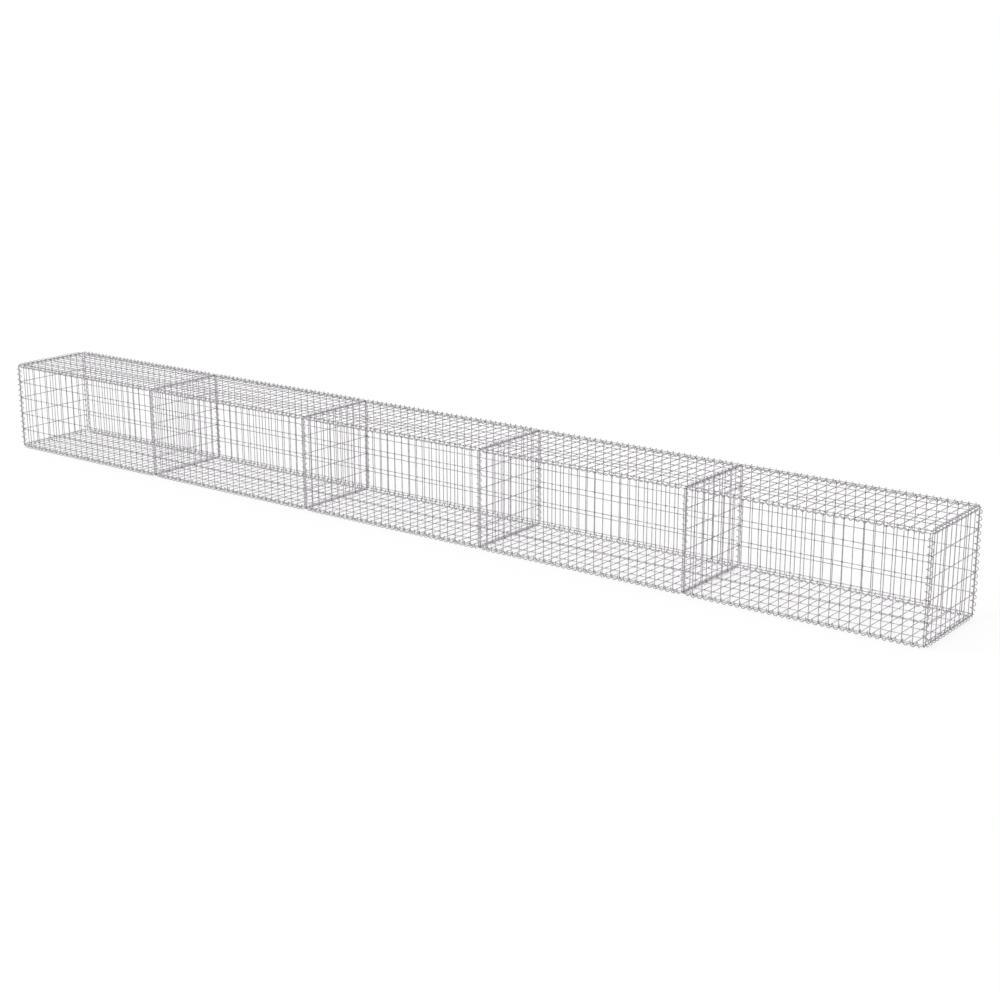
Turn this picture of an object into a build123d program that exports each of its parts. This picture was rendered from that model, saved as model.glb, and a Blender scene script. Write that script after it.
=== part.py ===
"""Gabion wall: bays of welded wire mesh in a row, laced together along every edge.

Millimetres, +Z up, X along the wall and -Y to its front. The origin is on the ground under the
middle of the wall. Each bay has a front, a back, a lid and a base panel. Dividers stand between
the bays, and an end panel closes each end. A panel has line wires with cross wires welded on one
side of them. Spiral binders hold the outermost wires of the panels that meet at each edge.
"""

import os
from math import ceil, cos, floor, pi, sin, sqrt

from build123d import *

# The wall
BAYS = 5
BAY_LENGTH = 1200.0  # between the outermost cross wires of a front panel
BAY_DEPTH = 500.0  # between the outermost line wires of a lid
BAY_HEIGHT = 500.0  # between the outermost line wires of a front panel
PANEL_GAP = 8.5  # from a panel's outermost wire to the middle plane of the panel that it meets

# Welded mesh
CROSS_SPACING = 50.0  # nominal, and the line wires stand LINE_RATIO times as far apart
LINE_RATIO = 2
MESH_WIRE = 4.0  # diameter
WIRE_END = 3.0  # what a wire runs past the middle of the outermost wire that it crosses

# Spiral binders
COIL_WIRE = 3.5  # diameter
TURNS_PER_SPACE = 3  # turns between two line wires
SEAT_CLEARANCE = 0.05  # left between a binder and the wires that it holds
COIL_END_CLEARANCE = 2.0  # left between binders that meet at a corner

# Where a binder passes the side that it is placed by, in turns from the wire across its end.
# Its turns then pass midway between the wires that cross it, and clear them all.
CORNER_PASS = 1 / 3
DIVIDER_UPRIGHT_PASS = 1 / 2
DIVIDER_CROSS_PASS = 0.85

# Round wire is made as bars of few sides, and a turn of a binder as straight lengths
MESH_BAR_SIDES = 6
COIL_BAR_SIDES = 4
TURN_LENGTHS = 6


def bar_radius(diameter, sides):
    """Corner radius of the regular bar with the section area of a round wire."""
    return diameter / 2 * sqrt(2 * pi / (sides * sin(2 * pi / sides)))


mesh_radius = bar_radius(MESH_WIRE, MESH_BAR_SIDES)
coil_radius = bar_radius(COIL_WIRE, COIL_BAR_SIDES)
lap = mesh_radius * cos(pi / MESH_BAR_SIDES)  # from a panel's middle plane to the middle of a layer

# Middle planes, from the middle of the wall
side_plane = BAY_DEPTH / 2 + PANEL_GAP  # front and back panels
level_plane = BAY_HEIGHT / 2 + PANEL_GAP  # lids and bases
bay_pitch = BAY_LENGTH + PANEL_GAP
end_plane = (BAYS * bay_pitch + PANEL_GAP) / 2
bay_middles = [(bay - (BAYS - 1) / 2) * bay_pitch for bay in range(BAYS)]
divider_planes = [(bay - BAYS / 2) * bay_pitch for bay in range(1, BAYS)]

# A turn round a divider also holds a wire of each bay beside it, which sets the size of all turns
half_length = pi / TURN_LENGTHS  # half the angle of one straight length
divider_reach = ((PANEL_GAP + lap) * cos(half_length) + (PANEL_GAP / 2 + lap) * sin(half_length)) / 2
divider_hub = (divider_reach - lap * sin(half_length)) / cos(half_length)
turn_radius = (divider_reach + mesh_radius + coil_radius + SEAT_CLEARANCE) / cos(half_length)
coil_outer = turn_radius + coil_radius / cos(half_length)


def line_spaces(size):
    """Spaces between the line wires that share out one side of a panel evenly."""
    return round(size / (LINE_RATIO * CROSS_SPACING))


def mesh_panel(length, width):
    """A panel about the origin: line wires along X, with cross wires along Y on their +Z side."""
    line_rows = line_spaces(width)
    cross_rows = LINE_RATIO * line_spaces(length)
    line_length = length + 2 * WIRE_END
    cross_length = width + 2 * WIRE_END
    with BuildPart() as panel:
        with BuildSketch(Plane.YZ.offset(-line_length / 2)):
            with Locations((0, -lap)):
                with GridLocations(width / line_rows, 0, line_rows + 1, 1):
                    RegularPolygon(mesh_radius, MESH_BAR_SIDES)
        extrude(amount=line_length)
        with BuildSketch(Plane.XZ.offset(-cross_length / 2)):
            with Locations((0, lap)):
                with GridLocations(length / cross_rows, 0, cross_rows + 1, 1):
                    RegularPolygon(mesh_radius, MESH_BAR_SIDES)
        extrude(amount=cross_length)
    return panel.part


def spiral_binder(span, side, first_pass):
    """A binder about the Z axis, for a panel's side of the given size.

    It stops clear of the binders that cross its ends, which lie span apart. A corner of its
    turns passes over +X at first_pass of a turn from the side's lower end.
    """
    reach = span / 2 - coil_outer - COIL_END_CLEARANCE
    pitch = side / line_spaces(side) / TURNS_PER_SPACE
    rise = pitch / TURN_LENGTHS
    first = first_pass * pitch - side / 2
    corners = []
    for corner in range(ceil((-reach - first) / rise), floor((reach - first) / rise) + 1):
        angle = 2 * half_length * corner
        corners.append((turn_radius * cos(angle), turn_radius * sin(angle), first + rise * corner))
    with BuildPart() as binder:
        with BuildLine() as path:
            Polyline(*corners)
        with BuildSketch(Plane(origin=path.line @ 0, z_dir=path.line % 0)):
            RegularPolygon(coil_radius, COIL_BAR_SIDES)
        sweep(path=path.line, transition=Transition.RIGHT)
    return binder.part


wall = {}  # the solids of each node, placed about the middle of the wall


def place(node, solid, origin, x_dir, z_dir):
    """Put a copy of a solid in a node, with its own X and Z turned to the given directions."""
    plane = Plane(origin=origin, x_dir=x_dir, z_dir=z_dir)
    wall.setdefault(node, []).append(plane.location * solid)


def lace(node, binder, wire, other_wire, outward, other_outward):
    """Put a binder round the edge wires of two panels, given the ways that the panels face."""
    middle = (Vector(wire) + Vector(other_wire)) / 2
    place(node, binder, middle, outward, Vector(outward).cross(Vector(other_outward)))


# Panels of the bays: line wires run along the wall, inside on its sides and outside above and below
long_panel = mesh_panel(BAY_LENGTH, BAY_HEIGHT)
level_panel = mesh_panel(BAY_LENGTH, BAY_DEPTH)
for bay, x in enumerate(bay_middles, 1):
    place(f"front_panel_{bay}", long_panel, (x, -side_plane, 0), (1, 0, 0), (0, -1, 0))
    place(f"back_panel_{bay}", long_panel, (x, side_plane, 0), (-1, 0, 0), (0, 1, 0))
    place(f"lid_{bay}", level_panel, (x, 0, level_plane), (1, 0, 0), (0, 0, -1))
    place(f"base_panel_{bay}", level_panel, (x, 0, -level_plane), (1, 0, 0), (0, 0, 1))

# Dividers and end panels: line wires run from front to back, and outside at the ends
cross_panel = mesh_panel(BAY_DEPTH, BAY_HEIGHT)
for divider, x in enumerate(divider_planes, 1):
    place(f"divider_{divider}", cross_panel, (x, 0, 0), (0, 1, 0), (1, 0, 0))
place("end_panel_left", cross_panel, (-end_plane, 0, 0), (0, 1, 0), (1, 0, 0))
place("end_panel_right", cross_panel, (end_plane, 0, 0), (0, -1, 0), (-1, 0, 0))

# Binders along the wall hold the outermost line wires of a side panel and a lid or base
edge_y = (side_plane - lap + BAY_DEPTH / 2) / 2
edge_z = (level_plane + lap + BAY_HEIGHT / 2) / 2
edge_binder = spiral_binder(bay_pitch, BAY_LENGTH, CORNER_PASS)
for bay, x in enumerate(bay_middles, 1):
    for back in (-1, 1):
        for top in (-1, 1):
            side_wire = (x, back * (side_plane - lap), top * BAY_HEIGHT / 2)
            level_wire = (x, back * BAY_DEPTH / 2, top * (level_plane + lap))
            lace(f"edge_binders_{bay}", edge_binder, side_wire, level_wire, (0, back, 0), (0, 0, top))

# Binders round the edges of a divider hold it and the outermost cross wires of the bays beside it
divider_upright = spiral_binder(2 * edge_z, BAY_HEIGHT, DIVIDER_UPRIGHT_PASS)
divider_cross = spiral_binder(2 * edge_y, BAY_DEPTH, DIVIDER_CROSS_PASS)
upright_hub = BAY_DEPTH / 2 + divider_hub
cross_hub = BAY_HEIGHT / 2 + divider_hub
for divider, x in enumerate(divider_planes, 1):
    for side in (-1, 1):
        node = f"divider_binders_{divider}"
        place(node, divider_upright, (x, side * upright_hub, 0), (0, -side, 0), (0, 0, 1))
        place(node, divider_cross, (x, 0, side * cross_hub), (0, 0, -side), (0, side, 0))

# Binders at the ends hold the outermost cross wires of a bay and the edge wires of the end panel
end_upright = spiral_binder(2 * edge_z, BAY_HEIGHT, CORNER_PASS)
end_cross = spiral_binder(2 * edge_y, BAY_DEPTH, CORNER_PASS)
bay_edge = end_plane - PANEL_GAP
for name, end in (("left", -1), ("right", 1)):
    for side in (-1, 1):
        bay_wire = (end * bay_edge, side * (side_plane + lap), 0)
        end_wire = (end * (end_plane - lap), side * BAY_DEPTH / 2, 0)
        lace(f"end_binders_{name}", end_upright, end_wire, bay_wire, (end, 0, 0), (0, side, 0))
        bay_wire = (end * bay_edge, 0, side * (level_plane - lap))
        end_wire = (end * (end_plane + lap), 0, side * BAY_HEIGHT / 2)
        lace(f"end_binders_{name}", end_cross, bay_wire, end_wire, (0, 0, side), (end, 0, 0))

ground = min(solid.bounding_box().min.Z for solids in wall.values() for solid in solids)

os.makedirs("parts", exist_ok=True)
for name, solids in wall.items():
    node = Compound(children=[Location((0, 0, -ground)) * solid for solid in solids])
    node.label = name
    export_step(node, f"parts/{name}.step", write_pcurves=False)
print(f"{len(wall)} nodes, turn radius {turn_radius:.2f}, ground {ground:.2f}")
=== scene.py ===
"""Empty gabion wall in its studio: panels of welded wire mesh laced together with spiral binders.

Metres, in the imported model's frame: +X along the wall, -Y its front, +Z up, and the origin on the
ground under the middle of the wall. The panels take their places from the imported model's boxes,
and the binders take theirs from the panels.
"""

import logging
import zlib
from dataclasses import dataclass, field
from enum import Enum, IntEnum
from math import ceil, cos, floor, pi, sin
from typing import Any

import bpy
import numpy as np
from mathutils import Matrix, Vector


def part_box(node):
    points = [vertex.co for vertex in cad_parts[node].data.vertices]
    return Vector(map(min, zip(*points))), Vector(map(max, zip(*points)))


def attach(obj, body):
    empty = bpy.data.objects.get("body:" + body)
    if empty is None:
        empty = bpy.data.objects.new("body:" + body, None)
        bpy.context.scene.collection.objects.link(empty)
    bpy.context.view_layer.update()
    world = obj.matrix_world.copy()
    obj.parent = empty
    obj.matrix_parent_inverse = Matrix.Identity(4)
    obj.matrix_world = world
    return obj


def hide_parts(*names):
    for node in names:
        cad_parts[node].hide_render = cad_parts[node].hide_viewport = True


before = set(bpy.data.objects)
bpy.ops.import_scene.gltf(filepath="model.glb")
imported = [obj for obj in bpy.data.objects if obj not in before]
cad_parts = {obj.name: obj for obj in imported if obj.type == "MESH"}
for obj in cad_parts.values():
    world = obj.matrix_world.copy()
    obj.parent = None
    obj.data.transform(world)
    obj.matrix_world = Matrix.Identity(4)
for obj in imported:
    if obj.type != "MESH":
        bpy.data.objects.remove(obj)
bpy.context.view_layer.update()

MM = 0.001
WIRE_UV = "around_and_along"  # u once round a wire, v in mesh spaces or turns along it
BLENDED_COLOUR = 2  # the socket that a Mix node gives its colour from

# where a binder passes its outward side, in turns from the wire across the panel's lower end
CORNER_PASS = 1 / 3
DIVIDER_UPRIGHT_PASS = 1 / 2
DIVIDER_CROSS_PASS = 0.85

log = logging.getLogger("gabion_wall")


class Range(IntEnum):
    """Sockets of a Map Range node, by number, because their names repeat."""

    VALUE = 0
    FROM_LOW = 1
    FROM_HIGH = 2
    TO_LOW = 3
    TO_HIGH = 4


class Mix(IntEnum):
    """Sockets of a Mix node, by number, because their names repeat."""

    SHARE = 0
    NUMBER_A = 2
    NUMBER_B = 3
    COLOUR_A = 6
    COLOUR_B = 7


def linear(hex_colour: str) -> tuple[float, float, float, float]:
    """Turn an sRGB hex colour to linear RGBA.

    Args:
        hex_colour: the colour as "#rrggbb".

    Returns:
        Red, green, blue and an alpha of 1, from 0 to 1.
    """
    channels = [int(hex_colour[start : start + 2], 16) / 255 for start in (1, 3, 5)]
    red, green, blue = (
        channel / 12.92 if channel <= 0.04045 else ((channel + 0.055) / 1.055) ** 2.4
        for channel in channels
    )
    return red, green, blue, 1.0


def add_node(
    tree: bpy.types.NodeTree,
    kind: str,
    inputs: dict[str | int, Any] | None = None,
    **settings: Any,
) -> Any:
    """Add a node to a tree, with its settings and links.

    Args:
        tree: the material's or the world's node tree.
        kind: the node's type.
        inputs: for a socket's name or number, a value, or another node's output to link to it.
        **settings: the node's own properties.

    Returns:
        The new node.
    """
    node = tree.nodes.new(kind)
    for name, value in settings.items():
        setattr(node, name, value)
    for socket, value in (inputs or {}).items():
        if isinstance(value, bpy.types.NodeSocket):
            tree.links.new(value, node.inputs[socket])
        else:
            node.inputs[socket].default_value = value
    return node


def empty_material(name: str) -> tuple[bpy.types.Material, bpy.types.NodeTree]:
    """Make a node material with nothing in it.

    Args:
        name: the material's name.

    Returns:
        The material and its node tree.
    """
    material = bpy.data.materials.new(name)
    material.use_nodes = True
    material.node_tree.nodes.clear()
    return material, material.node_tree


# Finishes


@dataclass(frozen=True)
class DippedWire:
    """Drawn steel wire with a hot-dipped zinc coat.

    The eye sees a pale neutral grey that is cloudy where the zinc has dulled, with faint
    crystals and a soft broad highlight. Heat has browned the zinc beside each weld.

    Attributes:
        name: the material's name.
        bright: colour of fresh zinc.
        dull: colour of zinc that has weathered.
        scorched: colour of the zinc beside a weld.
        cloud_mm: size of the dull patches.
        cloud_noise: noise levels at which the dulling starts and is full.
        crystal_mm: size of a zinc crystal, drawn coarser than real ones so that it shows.
        crystal_share: how much the crystals tell against the patches.
        run_mm: size of the bumps that the molten zinc left.
        run_depth_mm: height of those bumps.
        scorch_share: how far the heat reached from a weld, as a share of the mesh space.
        scorch_core: how far it browned the zinc most, likewise.
        scorch_most: how brown it is there, from 0 to 1.
        smoothest: roughness of the bright zinc.
        roughest: roughness of the dull zinc.
        oxide_metallic: how metallic the dull zinc still is.
    """

    name: str
    bright: str
    dull: str
    scorched: str = "#827a7a"
    cloud_mm: float = 22.0
    cloud_noise: tuple[float, float] = (0.35, 0.65)
    crystal_mm: float = 3.0
    crystal_share: float = 0.35
    run_mm: float = 2.2
    run_depth_mm: float = 0.12
    scorch_share: float = 0.09
    scorch_core: float = 0.02
    scorch_most: float = 0.75
    smoothest: float = 0.34
    roughest: float = 0.58
    oxide_metallic: float = 0.7

    def material(self) -> bpy.types.Material:
        """Build the material's nodes.

        Returns:
            The finished material.
        """
        material, tree = empty_material(self.name)
        place = add_node(tree, "ShaderNodeTexCoord").outputs["Object"]
        clouds = add_node(
            tree,
            "ShaderNodeTexNoise",
            {"Vector": place, "Scale": 1 / (self.cloud_mm * MM), "Detail": 3.0},
        )
        starts, full = self.cloud_noise
        cloudy = add_node(
            tree,
            "ShaderNodeMapRange",
            {Range.VALUE: clouds.outputs[0], Range.FROM_LOW: starts, Range.FROM_HIGH: full},
        )
        crystals = add_node(
            tree, "ShaderNodeTexVoronoi", {"Vector": place, "Scale": 1 / (self.crystal_mm * MM)}
        )
        facets = add_node(tree, "ShaderNodeSeparateColor", {"Color": crystals.outputs["Color"]})
        dulled = add_node(
            tree,
            "ShaderNodeMix",
            {
                Mix.SHARE: self.crystal_share,
                Mix.NUMBER_A: cloudy.outputs[0],
                Mix.NUMBER_B: facets.outputs[0],
            },
            data_type="FLOAT",
        )
        zinc = add_node(
            tree,
            "ShaderNodeMix",
            {
                Mix.SHARE: dulled.outputs[0],
                Mix.COLOUR_A: linear(self.bright),
                Mix.COLOUR_B: linear(self.dull),
            },
            data_type="RGBA",
        )

        wire = add_node(tree, "ShaderNodeUVMap", uv_map=WIRE_UV).outputs[0]
        along = add_node(tree, "ShaderNodeSeparateXYZ", {"Vector": wire}).outputs["Y"]
        # v is whole at the welds, so this rises from 0 at a weld to a half midway to the next
        from_weld = add_node(tree, "ShaderNodeMath", {0: along, 1: 0.5}, operation="PINGPONG")
        scorch = add_node(
            tree,
            "ShaderNodeMapRange",
            {
                Range.VALUE: from_weld.outputs[0],
                Range.FROM_LOW: self.scorch_core,
                Range.FROM_HIGH: self.scorch_share,
                Range.TO_LOW: self.scorch_most,
                Range.TO_HIGH: 0.0,
            },
            interpolation_type="SMOOTHSTEP",
        )
        colour = add_node(
            tree,
            "ShaderNodeMix",
            {
                Mix.SHARE: scorch.outputs[0],
                Mix.COLOUR_A: zinc.outputs[BLENDED_COLOUR],
                Mix.COLOUR_B: linear(self.scorched),
            },
            data_type="RGBA",
        )

        roughness = add_node(
            tree,
            "ShaderNodeMapRange",
            {
                Range.VALUE: dulled.outputs[0],
                Range.TO_LOW: self.smoothest,
                Range.TO_HIGH: self.roughest,
            },
        )
        metallic = add_node(
            tree,
            "ShaderNodeMapRange",
            {Range.VALUE: dulled.outputs[0], Range.TO_LOW: 1.0, Range.TO_HIGH: self.oxide_metallic},
        )
        runs = add_node(
            tree,
            "ShaderNodeTexNoise",
            {"Vector": place, "Scale": 1 / (self.run_mm * MM), "Detail": 2.0},
        )
        relief = add_node(
            tree, "ShaderNodeBump", {"Height": runs.outputs[0], "Distance": self.run_depth_mm * MM}
        )
        surface = add_node(
            tree,
            "ShaderNodeBsdfPrincipled",
            {
                "Base Color": colour.outputs[BLENDED_COLOUR],
                "Roughness": roughness.outputs[0],
                "Metallic": metallic.outputs[0],
                "Normal": relief.outputs[0],
            },
        )
        add_node(tree, "ShaderNodeOutputMaterial", {"Surface": surface.outputs[0]})
        return material


@dataclass(frozen=True)
class SpringWire:
    """Hard-drawn spring wire, galvanised before it is wound into a spiral.

    The eye sees a smoother, glossier grey than the mesh, streaked along the wire by the
    drawing die, with dull scuffs where turns were screwed through the mesh.

    Attributes:
        name: the material's name.
        bright: colour of the drawn zinc.
        scuffed: colour of the rubbed zinc.
        scuff_mm: size of the scuffs.
        scuff_noise: noise levels at which the scuffing starts and is full.
        streaks: streaks round the wire, far fewer than real ones so that they show.
        streak_turns: length of a streak, in turns of the spiral.
        streak_share: how much the streaks tell against the scuffs.
        streak_depth_mm: depth of a streak.
        smoothest: roughness of the drawn zinc.
        roughest: roughness of the scuffs.
    """

    name: str
    bright: str
    scuffed: str
    scuff_mm: float = 9.0
    scuff_noise: tuple[float, float] = (0.45, 0.68)
    streaks: float = 14.0
    streak_turns: float = 0.6
    streak_share: float = 0.3
    streak_depth_mm: float = 0.04
    smoothest: float = 0.28
    roughest: float = 0.5

    def material(self) -> bpy.types.Material:
        """Build the material's nodes.

        Returns:
            The finished material.
        """
        material, tree = empty_material(self.name)
        place = add_node(tree, "ShaderNodeTexCoord").outputs["Object"]
        scuffs = add_node(
            tree,
            "ShaderNodeTexNoise",
            {"Vector": place, "Scale": 1 / (self.scuff_mm * MM), "Detail": 4.0, "Roughness": 0.6},
        )
        starts, full = self.scuff_noise
        rubbed = add_node(
            tree,
            "ShaderNodeMapRange",
            {Range.VALUE: scuffs.outputs[0], Range.FROM_LOW: starts, Range.FROM_HIGH: full},
        )
        wire = add_node(tree, "ShaderNodeUVMap", uv_map=WIRE_UV).outputs[0]
        stretched = add_node(
            tree,
            "ShaderNodeMapping",
            {"Vector": wire, "Scale": (self.streaks, 1 / self.streak_turns, 1.0)},
        )
        streaks = add_node(
            tree,
            "ShaderNodeTexNoise",
            {"Vector": stretched.outputs[0], "Scale": 1.0, "Detail": 3.0},
        )
        worn = add_node(
            tree,
            "ShaderNodeMix",
            {
                Mix.SHARE: self.streak_share,
                Mix.NUMBER_A: rubbed.outputs[0],
                Mix.NUMBER_B: streaks.outputs[0],
            },
            data_type="FLOAT",
        )
        colour = add_node(
            tree,
            "ShaderNodeMix",
            {
                Mix.SHARE: worn.outputs[0],
                Mix.COLOUR_A: linear(self.bright),
                Mix.COLOUR_B: linear(self.scuffed),
            },
            data_type="RGBA",
        )
        roughness = add_node(
            tree,
            "ShaderNodeMapRange",
            {
                Range.VALUE: worn.outputs[0],
                Range.TO_LOW: self.smoothest,
                Range.TO_HIGH: self.roughest,
            },
        )
        relief = add_node(
            tree,
            "ShaderNodeBump",
            {"Height": streaks.outputs[0], "Distance": self.streak_depth_mm * MM},
        )
        surface = add_node(
            tree,
            "ShaderNodeBsdfPrincipled",
            {
                "Base Color": colour.outputs[BLENDED_COLOUR],
                "Roughness": roughness.outputs[0],
                "Metallic": 1.0,
                "Normal": relief.outputs[0],
            },
        )
        add_node(tree, "ShaderNodeOutputMaterial", {"Surface": surface.outputs[0]})
        return material


@dataclass(frozen=True)
class BareSteel:
    """Steel that the zinc no longer covers: a resistance weld's flash, or a wire's sheared end.

    The eye sees a dark matt grey with warm patches where the first rust has started.

    Attributes:
        name: the material's name.
        steel: colour of the bare metal.
        rust: colour of the patches.
        patch_mm: size of a patch.
        rusted: noise level above which the patches show, from 0 to 1.
        rust_edge: noise between bare metal and full rust.
        grain_mm: size of the surface's grain.
        grain_depth_mm: height of the grain.
        roughness: roughness of the metal.
        rust_roughness: roughness of the patches.
        rust_metallic: how metallic the patches still are.
    """

    name: str
    steel: str
    rust: str
    patch_mm: float
    rusted: float
    rust_edge: float = 0.15
    grain_mm: float = 0.5
    grain_depth_mm: float = 0.08
    roughness: float = 0.55
    rust_roughness: float = 0.85
    rust_metallic: float = 0.1

    def material(self) -> bpy.types.Material:
        """Build the material's nodes.

        Returns:
            The finished material.
        """
        material, tree = empty_material(self.name)
        place = add_node(tree, "ShaderNodeTexCoord").outputs["Object"]
        patches = add_node(
            tree,
            "ShaderNodeTexNoise",
            {"Vector": place, "Scale": 1 / (self.patch_mm * MM), "Detail": 4.0},
        )
        rusty = add_node(
            tree,
            "ShaderNodeMapRange",
            {
                Range.VALUE: patches.outputs[0],
                Range.FROM_LOW: self.rusted,
                Range.FROM_HIGH: self.rusted + self.rust_edge,
            },
        )
        colour = add_node(
            tree,
            "ShaderNodeMix",
            {
                Mix.SHARE: rusty.outputs[0],
                Mix.COLOUR_A: linear(self.steel),
                Mix.COLOUR_B: linear(self.rust),
            },
            data_type="RGBA",
        )
        roughness = add_node(
            tree,
            "ShaderNodeMapRange",
            {
                Range.VALUE: rusty.outputs[0],
                Range.TO_LOW: self.roughness,
                Range.TO_HIGH: self.rust_roughness,
            },
        )
        metallic = add_node(
            tree,
            "ShaderNodeMapRange",
            {Range.VALUE: rusty.outputs[0], Range.TO_LOW: 1.0, Range.TO_HIGH: self.rust_metallic},
        )
        grain = add_node(
            tree,
            "ShaderNodeTexNoise",
            {"Vector": place, "Scale": 1 / (self.grain_mm * MM), "Detail": 2.0},
        )
        relief = add_node(
            tree,
            "ShaderNodeBump",
            {"Height": grain.outputs[0], "Distance": self.grain_depth_mm * MM},
        )
        surface = add_node(
            tree,
            "ShaderNodeBsdfPrincipled",
            {
                "Base Color": colour.outputs[BLENDED_COLOUR],
                "Roughness": roughness.outputs[0],
                "Metallic": metallic.outputs[0],
                "Normal": relief.outputs[0],
            },
        )
        add_node(tree, "ShaderNodeOutputMaterial", {"Surface": surface.outputs[0]})
        return material


# Wire and welds as meshes


class WireFace(Enum):
    """What a face belongs to, as the number of its material."""

    SLEEVE = 0
    CUT = 1
    WELD = 2


@dataclass
class WireMesher:
    """Gathers round wires and welds as corners and faces, and makes one mesh of them.

    Attributes:
        corners: arrays of corner places.
        faces: each face's corner numbers.
        face_uvs: for each corner of each face, its place round and along its wire.
        finishes: each face's material number.
        smooth: whether each face is shaded smooth.
        count: corners so far.
    """

    corners: list[np.ndarray] = field(default_factory=list)
    faces: list[list[int]] = field(default_factory=list)
    face_uvs: list[np.ndarray] = field(default_factory=list)
    finishes: list[np.ndarray] = field(default_factory=list)
    smooth: list[np.ndarray] = field(default_factory=list)
    count: int = 0

    def _add(
        self, corners: np.ndarray, faces: np.ndarray, uvs: np.ndarray, finish: int, smooth: bool
    ) -> None:
        """Add corners, and faces that each have the same number of corners.

        Args:
            corners: places of the new corners, (n, 3).
            faces: corner numbers from self.count on, (m, k).
            uvs: place round and along the wire for each face's corners, (m, k, 2).
            finish: material number of the faces.
            smooth: whether they are shaded smooth.
        """
        self.corners.append(corners.reshape(-1, 3))
        self.faces += faces.tolist()
        self.face_uvs.append(uvs.reshape(-1, 2))
        self.finishes.append(np.full(len(faces), finish))
        self.smooth.append(np.full(len(faces), smooth))
        self.count += len(self.corners[-1])

    def wire(
        self,
        path: np.ndarray,
        radii: np.ndarray,
        outward: np.ndarray,
        along: np.ndarray,
        sides: int,
    ) -> None:
        """Add a round wire with flat sheared ends.

        Args:
            path: points along the middle of the wire, (n, 3).
            radii: its radius at each point, (n,).
            outward: at each point, the way that its section starts from, (n, 3).
            along: what v reads at each point, (n,).
            sides: corners of its section.
        """
        tangent = np.gradient(path, axis=0)
        tangent /= np.linalg.norm(tangent, axis=1, keepdims=True)
        across = outward - (outward * tangent).sum(1, keepdims=True) * tangent
        across /= np.linalg.norm(across, axis=1, keepdims=True)
        turn = 2 * pi * np.arange(sides) / sides
        up = np.cross(tangent, across)
        spokes = np.cos(turn)[:, None] * across[:, None] + np.sin(turn)[:, None] * up[:, None]
        corners = path[:, None] + radii[:, None, None] * spokes

        ring = self.count + np.arange(len(path) * sides).reshape(-1, sides)
        here, there = ring[:-1], ring[1:]
        sleeve = np.stack([here, np.roll(here, -1, 1), np.roll(there, -1, 1), there], 2)
        sleeve = sleeve.reshape(-1, 4)
        around = np.arange(sides + 1) / sides
        u = np.stack([around[:-1], around[1:], around[1:], around[:-1]], 1)
        v = np.stack([along[:-1], along[:-1], along[1:], along[1:]], 1)
        uvs = np.stack(np.broadcast_arrays(u[None], v[:, None]), 3)
        self._add(corners, sleeve, uvs, WireFace.SLEEVE.value, True)
        ends = np.stack([ring[0, ::-1], ring[-1]])
        self._add(np.empty((0, 3)), ends, np.zeros((2, sides, 2)), WireFace.CUT.value, False)

    def welds(self, middles: np.ndarray, axes: np.ndarray, radii: np.ndarray, sides: int) -> None:
        """Add the flash squeezed out round each weld, as a low round bead.

        Args:
            middles: where the wires meet, (n, 3).
            axes: two ways along the panel and the way through it, right-handed, (3, 3).
            radii: the bead's three half widths at each weld, (n, 3).
            sides: corners round a bead.
        """
        turn = 2 * pi * np.arange(sides) / sides
        rings = [
            np.stack(
                [cos(tilt) * np.cos(turn), cos(tilt) * np.sin(turn), np.full(sides, sin(tilt))], 1
            )
            for tilt in (-pi / 4, 0, pi / 4)
        ]
        bead = np.concatenate([[[0, 0, -1]], *rings, [[0, 0, 1]]])
        corners = middles[:, None] + (bead[None] * radii[:, None]) @ axes
        first = self.count + len(bead) * np.arange(len(middles))[:, None, None]
        ring = 1 + np.arange(3 * sides).reshape(3, sides)
        after = np.roll(ring, -1, 1)
        belts = np.stack([ring[:-1], after[:-1], after[1:], ring[1:]], 2).reshape(-1, 4)
        bottom = np.stack([np.zeros(sides, int), after[0], ring[0]], 1)
        top = np.stack([ring[-1], after[-1], np.full(sides, len(bead) - 1)], 1)
        for faces in (belts, bottom, top):
            spread = (first + faces[None]).reshape(-1, faces.shape[1])
            given = corners if faces is belts else np.empty((0, 3))
            self._add(given, spread, np.zeros((*spread.shape, 2)), WireFace.WELD.value, True)

    def piece(self, name: str, materials: list[bpy.types.Material]) -> bpy.types.Object:
        """Make an object of what was gathered.

        Args:
            name: the object's name.
            materials: its materials, in the order of WireFace.

        Returns:
            The new object, linked to the scene.
        """
        mesh = bpy.data.meshes.new(name)
        mesh.from_pydata(np.concatenate(self.corners).tolist(), [], self.faces)
        uvs = mesh.uv_layers.new(name=WIRE_UV)
        uvs.data.foreach_set("uv", np.concatenate(self.face_uvs).ravel())
        for material in materials:
            mesh.materials.append(material)
        mesh.polygons.foreach_set("material_index", np.concatenate(self.finishes))
        mesh.polygons.foreach_set("use_smooth", np.concatenate(self.smooth))
        mesh.update()
        made = bpy.data.objects.new(name, mesh)
        bpy.context.scene.collection.objects.link(made)
        return made


# Panels


class Facing(Enum):
    """The way that a panel's cross wires face, from its line wires."""

    FRONT = (0, -1, 0)
    BACK = (0, 1, 0)
    DOWN = (0, 0, -1)
    UP = (0, 0, 1)
    LEFT = (-1, 0, 0)
    RIGHT = (1, 0, 0)


class PaintedTone(Enum):
    """Which copy of the wire's colour a piece takes: the plain one, one painted darker as painted
    shade, or one painted paler as painted light.
    """

    PLAIN = "open"
    # lids: the wire painted darker, as painted shade
    PAINTED_SHADE = "rained_on"
    # bases, dividers and the dividers' binders: the wire painted paler, as painted light where the
    # wall is in shade
    PAINTED_LIGHT = "sheltered"


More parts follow.
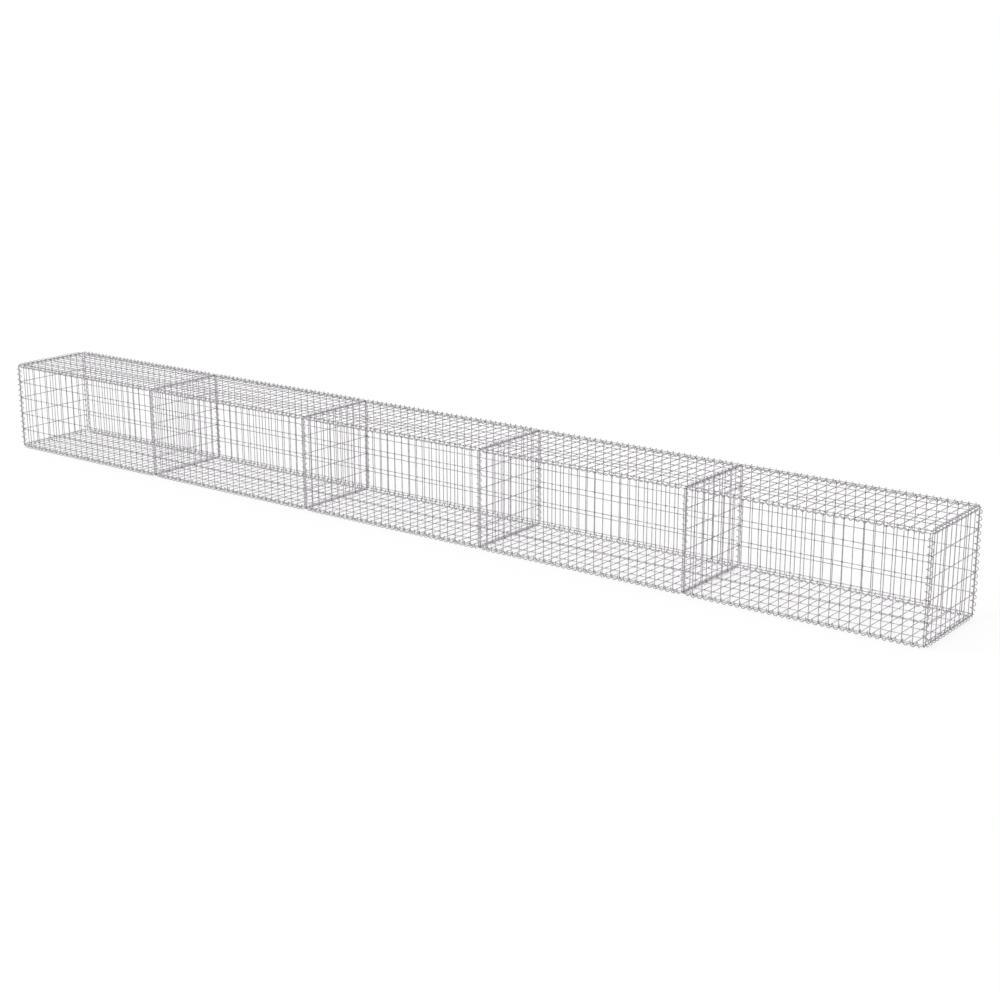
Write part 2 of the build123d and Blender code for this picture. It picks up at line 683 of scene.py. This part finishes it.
@dataclass
class MeshPanel:
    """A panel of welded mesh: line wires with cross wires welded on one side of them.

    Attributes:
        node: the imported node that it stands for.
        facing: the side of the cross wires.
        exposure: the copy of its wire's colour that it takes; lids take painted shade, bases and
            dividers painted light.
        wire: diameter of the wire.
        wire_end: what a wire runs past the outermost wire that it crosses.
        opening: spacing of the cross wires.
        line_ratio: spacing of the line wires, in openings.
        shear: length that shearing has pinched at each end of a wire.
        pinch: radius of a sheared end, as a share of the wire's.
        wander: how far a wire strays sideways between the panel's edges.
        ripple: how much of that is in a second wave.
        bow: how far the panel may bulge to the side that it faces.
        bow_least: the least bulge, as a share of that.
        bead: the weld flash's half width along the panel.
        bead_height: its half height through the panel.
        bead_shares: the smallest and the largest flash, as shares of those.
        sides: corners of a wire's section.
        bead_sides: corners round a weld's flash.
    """

    node: str
    facing: Facing
    exposure: PaintedTone = PaintedTone.PLAIN
    wire: float = 4.0 * MM
    wire_end: float = 3.0 * MM
    opening: float = 50.0 * MM
    line_ratio: int = 2
    shear: float = 0.7 * MM
    pinch: float = 0.8
    wander: float = 0.3 * MM
    ripple: float = 0.5
    bow: float = 1.0 * MM
    bow_least: float = 0.3
    bead: float = 2.2 * MM
    bead_height: float = 1.1 * MM
    bead_shares: tuple[float, float] = (0.85, 1.12)
    sides: int = 12
    bead_sides: int = 8

    def _axes(self) -> np.ndarray:
        """Work out the panel's own axes.

        Returns:
            The ways along its line wires, along its cross wires and out to its cross wires, (3, 3).
        """
        out = np.array(self.facing.value, float)
        line = np.array([0.0, 1.0, 0.0]) if out[0] else np.array([1.0, 0.0, 0.0])
        return np.stack([line, 1 - np.abs(out) - line, out])

    def _stray(self, random: np.random.Generator, wires: int, share: np.ndarray) -> np.ndarray:
        """Work out how far each wire strays sideways.

        Args:
            random: the panel's own random numbers.
            wires: how many wires.
            share: places along them, from 0 to 1.

        Returns:
            The strays, (wires, places). They are nothing at the panel's edges.
        """
        waves = np.stack([np.sin(pi * share), np.sin(2 * pi * share)])
        return self.wander * random.normal(size=(wires, 2)) @ (waves * [[1.0], [self.ripple]])

    def build(self, materials: list[bpy.types.Material]) -> bpy.types.Object:
        """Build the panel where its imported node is.

        Args:
            materials: of the wire, its cut ends and the welds.

        Returns:
            The panel's object.
        """
        random = np.random.default_rng(zlib.crc32(self.node.encode()))
        low, high = (np.array(corner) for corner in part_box(self.node))
        axes = self._axes()
        middle, size = (low + high) / 2, np.abs(axes @ (high - low))
        lap = size[2] / 4
        length, width = size[:2] - 2 * self.wire_end
        rows = round(width / (self.line_ratio * self.opening))
        columns = self.line_ratio * round(length / (self.line_ratio * self.opening))
        s, t = np.arange(columns + 1) / columns, np.arange(rows + 1) / rows

        # where cross wire i meets line wire j, along the lines, across them and out
        x = length * (s[:, None] - 0.5) + self._stray(random, columns + 1, t)
        y = width * (t[None, :] - 0.5) + self._stray(random, rows + 1, s).T
        bulge = self.bow * random.uniform(self.bow_least, 1.0)
        z = bulge * np.sin(pi * s)[:, None] * np.sin(pi * t)[None, :]
        meets = np.stack([x, y, z], 2)

        mesher = WireMesher()
        for wires, way, side in ((meets.transpose(1, 0, 2), 0, -lap), (meets, 1, lap)):
            for row in wires:
                self._wire(mesher, row + [0, 0, side], way, middle, axes)
        welds = meets.reshape(-1, 3)
        beads = np.array([self.bead, self.bead, self.bead_height])
        beads = beads * random.uniform(*self.bead_shares, (len(welds), 3))
        bead_axes = np.stack([axes[0], np.cross(axes[2], axes[0]), axes[2]])
        mesher.welds(middle + welds @ axes, bead_axes, beads, self.bead_sides)
        return mesher.piece(f"{self.node}_wires", materials)

    def _wire(
        self,
        mesher: WireMesher,
        meets: np.ndarray,
        way: int,
        middle: np.ndarray,
        axes: np.ndarray,
    ) -> None:
        """Add one wire of the panel.

        Args:
            mesher: what gathers the panel.
            meets: the points where it crosses other wires, in the panel's own axes, (n, 3).
            way: the axis that it runs along.
            middle: the panel's middle.
            axes: the panel's axes.
        """
        step = np.zeros(3)
        step[way] = 1
        first, last = meets[0], meets[-1]
        path = [
            first - self.wire_end * step,
            first - (self.wire_end - self.shear) * step,
            *meets,
            last + (self.wire_end - self.shear) * step,
            last + self.wire_end * step,
        ]
        path = middle + np.array(path) @ axes
        radii = np.full(len(path), self.wire / 2)
        radii[[0, -1]] *= self.pinch
        spaces = len(meets) - 1
        run_past = self.wire_end / np.linalg.norm(meets[1] - meets[0])
        ends = run_past * np.array([0.8, 1.0])  # about where the pinch starts, and the end
        along = np.concatenate([-ends[::-1], np.arange(spaces + 1), spaces + ends])
        mesher.wire(path, radii, np.tile(axes[2], (len(path), 1)), along, self.sides)


# Binders


@dataclass(frozen=True)
class Seat:
    """Where one binder lies.

    Attributes:
        middle: the middle of its axis.
        outward: the way that its turns are counted from.
        along: the way that its axis runs.
        span: distance between the binders that cross its ends.
        side: length of the panel's side that it laces.
        first_pass: where it passes outward, in turns from the wire across the side's lower end.
    """

    middle: Vector
    outward: Vector
    along: Vector
    span: float
    side: float
    first_pass: float


@dataclass
class SpiralBinders:
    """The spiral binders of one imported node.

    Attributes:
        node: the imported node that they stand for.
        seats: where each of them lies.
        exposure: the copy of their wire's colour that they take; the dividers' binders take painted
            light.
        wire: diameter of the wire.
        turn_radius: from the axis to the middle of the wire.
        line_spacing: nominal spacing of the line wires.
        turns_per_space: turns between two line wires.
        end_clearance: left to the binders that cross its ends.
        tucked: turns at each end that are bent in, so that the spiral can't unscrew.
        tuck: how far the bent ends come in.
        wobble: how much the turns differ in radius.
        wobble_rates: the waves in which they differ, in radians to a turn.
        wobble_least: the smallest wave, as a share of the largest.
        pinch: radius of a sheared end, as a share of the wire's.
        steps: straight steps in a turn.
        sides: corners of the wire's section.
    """

    node: str
    seats: list[Seat]
    exposure: PaintedTone = PaintedTone.PLAIN
    wire: float = 3.5 * MM
    turn_radius: float = 12.4 * MM
    line_spacing: float = 100.0 * MM
    turns_per_space: int = 3
    end_clearance: float = 4.0 * MM
    tucked: float = 0.45
    tuck: float = 1.8 * MM
    wobble: float = 0.15 * MM
    wobble_rates: tuple[float, ...] = (0.9, 1.7, 2.9)
    wobble_least: float = 0.3
    pinch: float = 0.8
    steps: int = 24
    sides: int = 8

    def build(self, materials: list[bpy.types.Material]) -> bpy.types.Object:
        """Build the node's binders.

        Args:
            materials: of the wire and its cut ends.

        Returns:
            The binders' object.
        """
        random = np.random.default_rng(zlib.crc32(self.node.encode()))
        mesher = WireMesher()
        for seat in self.seats:
            self._wind(mesher, seat, random)
        return mesher.piece(f"{self.node}_spirals", materials)

    def _wind(self, mesher: WireMesher, seat: Seat, random: np.random.Generator) -> None:
        """Add one spiral.

        Args:
            mesher: what gathers the node.
            seat: where the spiral lies.
            random: the node's own random numbers.
        """
        pitch = seat.side / round(seat.side / self.line_spacing) / self.turns_per_space
        reach = seat.span / 2 - self.turn_radius - self.wire / 2 - self.end_clearance
        first = seat.first_pass * pitch - seat.side / 2
        low = ceil((-reach - first) / pitch * self.steps)
        high = floor((reach - first) / pitch * self.steps)
        turns = np.arange(low, high + 1) / self.steps
        from_end = np.minimum(turns - turns[0], turns[-1] - turns)
        bent = np.clip(1 - from_end / self.tucked, 0, 1)
        waves = sum(
            random.uniform(self.wobble_least, 1.0)
            * np.sin(turns * rate + random.uniform(0, 2 * pi))
            for rate in self.wobble_rates
        )
        tuck = self.tuck * bent * bent * (3 - 2 * bent)  # eases in and out
        radius = self.turn_radius + self.wobble * waves / 2 - tuck

        x, z = np.array(seat.outward), np.array(seat.along)
        y = np.cross(z, x)
        angle = 2 * pi * turns
        spokes = np.cos(angle)[:, None] * x + np.sin(angle)[:, None] * y
        rise = (first + pitch * turns)[:, None] * z
        path = np.array(seat.middle) + radius[:, None] * spokes + rise
        radii = np.full(len(path), self.wire / 2)
        radii[[0, -1]] *= self.pinch
        mesher.wire(path, radii, spokes, turns, self.sides)


# The wall


@dataclass(frozen=True)
class WallPlan:
    """The planes and edges of the wall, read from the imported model's boxes.

    Attributes:
        bays: how many bays.
        length: a front panel, between its outermost cross wires.
        depth: a lid, between its outermost line wires.
        height: a front panel, between its outermost line wires.
        side_plane: from the wall's middle to the middle of a front or back panel.
        level_plane: from mid height to the middle of a lid or base.
        end_plane: from the wall's middle to the middle of an end panel.
        middle: mid height.
        bay_middles: the bays' middles along the wall.
        divider_planes: the dividers' middles along the wall.
        lap: from a panel's middle to the middle of its line wires or cross wires.
        divider_hub: from a divider's edge wire to the axis of the binder round it.
    """

    bays: int
    length: float
    depth: float
    height: float
    side_plane: float
    level_plane: float
    end_plane: float
    middle: float
    bay_middles: list[float]
    divider_planes: list[float]
    lap: float
    divider_hub: float = 5.88 * MM

    @classmethod
    def read(cls, bays: int = 5, wire_end: float = MeshPanel.wire_end) -> "WallPlan":
        """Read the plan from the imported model.

        Args:
            bays: how many bays.
            wire_end: what a wire runs past the outermost wire that it crosses.

        Returns:
            The plan.
        """

        def box(node: str) -> tuple[np.ndarray, np.ndarray]:
            """Return a node's middle and its size between outermost wires."""
            low, high = (np.array(corner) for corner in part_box(node))
            return (low + high) / 2, high - low - 2 * wire_end

        front, front_size = box("front_panel_1")
        lid, lid_size = box("lid_1")
        return cls(
            bays=bays,
            length=front_size[0],
            depth=lid_size[1],
            height=front_size[2],
            side_plane=-front[1],
            level_plane=lid[2] - front[2],
            end_plane=box("end_panel_right")[0][0],
            middle=front[2],
            bay_middles=[box(f"front_panel_{bay}")[0][0] for bay in range(1, bays + 1)],
            divider_planes=[box(f"divider_{number}")[0][0] for number in range(1, bays)],
            lap=(front_size[1] + 2 * wire_end) / 4,
        )

    def panels(self) -> list[MeshPanel]:
        """List the wall's panels.

        Returns:
            The panels of each bay, the dividers and the end panels.
        """
        # lids take the wire painted darker as painted shade, bases and dividers the wire painted
        # paler as painted light
        kinds = {
            "front_panel": (Facing.FRONT, PaintedTone.PLAIN),
            "back_panel": (Facing.BACK, PaintedTone.PLAIN),
            "lid": (Facing.DOWN, PaintedTone.PAINTED_SHADE),
            "base_panel": (Facing.UP, PaintedTone.PAINTED_LIGHT),
        }
        panels = [
            MeshPanel(f"{name}_{bay}", *kind)
            for bay in range(1, self.bays + 1)
            for name, kind in kinds.items()
        ]
        panels += [
            MeshPanel(f"divider_{number}", Facing.RIGHT, PaintedTone.PAINTED_LIGHT)
            for number in range(1, self.bays)
        ]
        panels.append(MeshPanel("end_panel_left", Facing.RIGHT))
        panels.append(MeshPanel("end_panel_right", Facing.LEFT))
        return panels

    def binders(self) -> list[SpiralBinders]:
        """List the wall's binders.

        Returns:
            The groups along the bays, round the dividers and at the ends.
        """
        groups = [
            SpiralBinders(f"edge_binders_{bay}", self._edge_seats(bay))
            for bay in range(1, self.bays + 1)
        ]
        for number in range(1, self.bays):
            seats = self._divider_seats(number)
            # the dividers' binders take the spring wire painted paler, as painted light
            groups.append(SpiralBinders(f"divider_binders_{number}", seats, PaintedTone.PAINTED_LIGHT))
        for name, end in (("left", -1), ("right", 1)):
            groups.append(SpiralBinders(f"end_binders_{name}", self._end_seats(end)))
        return groups

    def _edge(self) -> tuple[float, float]:
        """Return how far out and up from the wall's middle the binders along it run."""
        out = (self.side_plane - self.lap + self.depth / 2) / 2
        return out, (self.level_plane + self.lap + self.height / 2) / 2

    def _edge_seats(self, bay: int) -> list[Seat]:
        """Seat the four binders along a bay, each round edge wires of a side and a lid or base.

        Args:
            bay: the bay's number.

        Returns:
            Their seats.
        """
        y, z = self._edge()
        x = self.bay_middles[bay - 1]
        pitch = self.bay_middles[1] - self.bay_middles[0]
        seats = []
        for back in (-1, 1):
            for top in (-1, 1):
                outward = Vector((0, back, 0))
                along = outward.cross((0, 0, top))
                middle = Vector((x, back * y, self.middle + top * z))
                seats.append(Seat(middle, outward, along, pitch, self.length, CORNER_PASS))
        return seats

    def _divider_seats(self, number: int) -> list[Seat]:
        """Seat the four binders round a divider, each also round edge wires of both bays by it.

        Args:
            number: the divider's number.

        Returns:
            Their seats.
        """
        y, z = self._edge()
        x = self.divider_planes[number - 1]
        seats = []
        for side in (-1, 1):
            middle = Vector((x, side * (self.depth / 2 + self.divider_hub), self.middle))
            outward, along = Vector((0, -side, 0)), Vector((0, 0, 1))
            seats.append(Seat(middle, outward, along, 2 * z, self.height, DIVIDER_UPRIGHT_PASS))
            middle = Vector((x, 0, self.middle + side * (self.height / 2 + self.divider_hub)))
            outward, along = Vector((0, 0, -side)), Vector((0, side, 0))
            seats.append(Seat(middle, outward, along, 2 * y, self.depth, DIVIDER_CROSS_PASS))
        return seats

    def _end_seats(self, end: int) -> list[Seat]:
        """Seat the four binders round an end panel, each also round an edge wire of the bay by it.

        Args:
            end: -1 for the left end and 1 for the right.

        Returns:
            Their seats.
        """
        y, z = self._edge()
        bay_edge = self.bay_middles[-1] + self.length / 2
        end_x = end * (bay_edge + self.end_plane - self.lap) / 2
        end_y = (self.side_plane + self.lap + self.depth / 2) / 2
        end_z = (self.level_plane - self.lap + self.height / 2) / 2
        seats = []
        for side in (-1, 1):
            outward = Vector((end, 0, 0))
            along = outward.cross((0, side, 0))
            middle = Vector((end_x, side * end_y, self.middle))
            seats.append(Seat(middle, outward, along, 2 * z, self.height, CORNER_PASS))
            outward = Vector((0, 0, side))
            along = outward.cross((end, 0, 0))
            middle = Vector((end_x, 0, self.middle + side * end_z))
            seats.append(Seat(middle, outward, along, 2 * y, self.depth, CORNER_PASS))
        return seats


@dataclass(frozen=True)
class GabionWall:
    """The whole wall: its plan and the finishes of its wire.

    Attributes:
        mesh_wires: finish of the panels' wire, by painted tone: plain, darker as painted shade, or
            paler as painted light.
        binder_wires: finish of the binders' wire, by painted tone: plain, or paler as painted
            light.
        cut: finish of a wire's sheared end.
        weld: finish of the flash round a weld.
    """

    # painted shade and painted light: the lids' wire is painted a little darker than the sides',
    # and the bases' and dividers' a little paler, for how the light falls on them
    mesh_wires: dict[PaintedTone, DippedWire] = field(
        default_factory=lambda: {
            PaintedTone.PLAIN: DippedWire("hot_dip_galvanised_wire", "#c3bfc4", "#9d999e"),
            PaintedTone.PAINTED_SHADE: DippedWire("galvanised_wire_painted_darker_as_shade", "#bcb8bd", "#969297"),
            PaintedTone.PAINTED_LIGHT: DippedWire("galvanised_wire_painted_paler_as_light", "#cfcbd0", "#aaa6ab"),
        }
    )
    # painted light: the dividers' binders are painted paler than the others, where crowded wires
    # shade them
    binder_wires: dict[PaintedTone, SpringWire] = field(
        default_factory=lambda: {
            PaintedTone.PLAIN: SpringWire("galvanised_spring_wire", "#b7b3b8", "#8b878c"),
            PaintedTone.PAINTED_LIGHT: SpringWire(
                "galvanised_spring_wire_painted_paler_as_light", "#dbd7dc", "#b1adb2"
            ),
        }
    )
    # sheared after galvanising, so the eye sees a small dark disc with a trace of rust
    cut: BareSteel = BareSteel(
        "sheared_steel_end", "#77757a", "#7a5138", patch_mm=2.0, rusted=0.5
    )
    # scorched and bare where the wires were fused, so the eye sees a dark dot at each crossing
    weld: BareSteel = BareSteel(
        "resistance_weld_flash", "#908b8e", "#7d6356", patch_mm=6.0, rusted=0.62
    )

    def build(self) -> None:
        """Build every panel and every group of binders, and fasten them to the frame."""
        plan = WallPlan.read()
        cut, weld = self.cut.material(), self.weld.material()
        mesh_wires = {exposure: wire.material() for exposure, wire in self.mesh_wires.items()}
        binder_wires = {exposure: wire.material() for exposure, wire in self.binder_wires.items()}
        for panel in plan.panels():
            piece = panel.build([mesh_wires[panel.exposure], cut, weld])
            self._fasten(piece, panel.node)
        for group in plan.binders():
            piece = group.build([binder_wires[group.exposure], cut])
            self._fasten(piece, group.node)

    def _fasten(self, piece: bpy.types.Object, node: str) -> None:
        """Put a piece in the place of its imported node, and report it.

        Args:
            piece: the new piece.
            node: the node that it stands for.
        """
        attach(piece, "root")
        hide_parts(node)
        log.info("%s: %d faces", piece.name, len(piece.data.polygons))


# The studio


@dataclass(frozen=True)
class Studio:
    """A white room: a floor, soft light from all round and one soft lamp.

    Attributes:
        floor_radius: of the floor's disc.
        floor_sides: corners of the disc.
        floor_white: colour of the matt floor.
        mottle_m: size of the faint mottling in the floor.
        mottle_dark: its darkest share of the floor's colour.
        floor_glow: light added to the floor as the eye and the wire see it.
        white: colour of the room.
        dome: light from all round, where 1 is white.
        lamp: strength of the lamp.
        lamp_spread: its angular size, in radians, which softens the shadows.
        lamp_from: the way that it shines from.
    """

    floor_radius: float = 60.0
    floor_sides: int = 96
    floor_white: str = "#7a7a7a"
    mottle_m: float = 0.6
    mottle_dark: float = 0.985
    floor_glow: float = 0.81
    white: str = "#ffffff"
    dome: float = 0.8
    lamp: float = 0.9
    lamp_spread: float = 0.6
    lamp_from: tuple[float, float, float] = (-0.5, -0.6, 1.0)

    def build(self) -> None:
        """Build the floor, the lamp and the world."""
        self._floor()
        self._lamp()
        self._world()
        bpy.context.scene.view_settings.view_transform = "Standard"

    def _seen(self, tree: bpy.types.NodeTree) -> bpy.types.NodeSocket:
        """Tell the rays that show a thing from those that light by it.

        Args:
            tree: the node tree to add to.

        Returns:
            A socket that is 1 on a ray from the camera, from a gloss or through glass.
        """
        path = add_node(tree, "ShaderNodeLightPath")
        shown = add_node(
            tree,
            "ShaderNodeMath",
            {0: path.outputs["Is Camera Ray"], 1: path.outputs["Is Glossy Ray"]},
            operation="MAXIMUM",
        )
        shown = add_node(
            tree,
            "ShaderNodeMath",
            {0: shown.outputs[0], 1: path.outputs["Is Transmission Ray"]},
            operation="MAXIMUM",
        )
        return shown.outputs[0]

    def _floor(self) -> None:
        """Build the matt white floor, which keeps the wall's faint shadow."""
        mesh = bpy.data.meshes.new("studio_floor")
        turn = 2 * pi * np.arange(self.floor_sides) / self.floor_sides
        rim = self.floor_radius * np.stack([np.cos(turn), np.sin(turn), np.zeros_like(turn)], 1)
        mesh.from_pydata(rim.tolist(), [], [list(range(self.floor_sides))])
        material, tree = empty_material("matt_white_floor")
        place = add_node(tree, "ShaderNodeTexCoord").outputs["Object"]
        mottle = add_node(tree, "ShaderNodeTexNoise", {"Vector": place, "Scale": 1 / self.mottle_m})
        level = add_node(
            tree,
            "ShaderNodeMapRange",
            {Range.VALUE: mottle.outputs[0], Range.TO_LOW: self.mottle_dark, Range.TO_HIGH: 1.0},
        )
        white = add_node(
            tree,
            "ShaderNodeVectorMath",
            {0: linear(self.floor_white)[:3], "Scale": level.outputs[0]},
            operation="SCALE",
        )
        matt = add_node(tree, "ShaderNodeBsdfDiffuse", {"Color": white.outputs[0]})
        glow = add_node(
            tree,
            "ShaderNodeMath",
            {0: self._seen(tree), 1: self.floor_glow},
            operation="MULTIPLY",
        )
        light = add_node(tree, "ShaderNodeEmission", {"Strength": glow.outputs[0]})
        both = add_node(tree, "ShaderNodeAddShader", {0: matt.outputs[0], 1: light.outputs[0]})
        add_node(tree, "ShaderNodeOutputMaterial", {"Surface": both.outputs[0]})
        mesh.materials.append(material)
        floor_piece = bpy.data.objects.new("studio_floor", mesh)
        bpy.context.scene.collection.objects.link(floor_piece)

    def _lamp(self) -> None:
        """Build the soft lamp."""
        lamp = bpy.data.lights.new("soft_lamp", "SUN")
        lamp.energy = self.lamp
        lamp.angle = self.lamp_spread
        made = bpy.data.objects.new("soft_lamp", lamp)
        made.rotation_euler = Vector(self.lamp_from).to_track_quat("Z", "Y").to_euler()
        bpy.context.scene.collection.objects.link(made)

    def _world(self) -> None:
        """Build the light from all round, which is white wherever it is seen."""
        world = bpy.data.worlds.new("white_room")
        world.use_nodes = True
        tree = world.node_tree
        tree.nodes.clear()
        strength = add_node(
            tree,
            "ShaderNodeMapRange",
            {Range.VALUE: self._seen(tree), Range.TO_LOW: self.dome, Range.TO_HIGH: 1.0},
        )
        sky = add_node(
            tree,
            "ShaderNodeBackground",
            {"Color": linear(self.white), "Strength": strength.outputs[0]},
        )
        add_node(tree, "ShaderNodeOutputWorld", {"Surface": sky.outputs[0]})
        bpy.context.scene.world = world


@dataclass(frozen=True)
class Viewpoint:
    """The camera.

    Attributes:
        place: where it stands.
        yaw: how far it turns left from facing the wall's front, in radians.
        pitch: how far it looks down, in radians.
        roll: how far it leans, in radians.
        focal_share: focal length, as a share of the picture's width.
        sensor_mm: width of its sensor.
    """

    place: tuple[float, float, float] = (5.8969, -7.0138, 2.6619)
    yaw: float = 0.65220
    pitch: float = 0.27253
    roll: float = -0.00298
    focal_share: float = 1.7661
    sensor_mm: float = 36.0

    def build(self) -> None:
        """Set the camera up and look through it."""
        camera = bpy.data.cameras.new("camera")
        camera.sensor_width = self.sensor_mm
        camera.lens = self.focal_share * self.sensor_mm
        made = bpy.data.objects.new("camera", camera)
        aim = Matrix.Rotation(self.yaw, 4, "Z") @ Matrix.Rotation(pi / 2 - self.pitch, 4, "X")
        lean = Matrix.Rotation(self.roll, 4, "Z")
        made.matrix_world = Matrix.Translation(self.place) @ aim @ lean
        bpy.context.scene.collection.objects.link(made)
        bpy.context.scene.camera = made


def main() -> None:
    """Build the wall, the studio and the camera."""
    logging.basicConfig(level=logging.INFO, format="%(name)s %(message)s")
    GabionWall().build()
    Studio().build()
    Viewpoint().build()


if __name__ == "__main__":
    main()
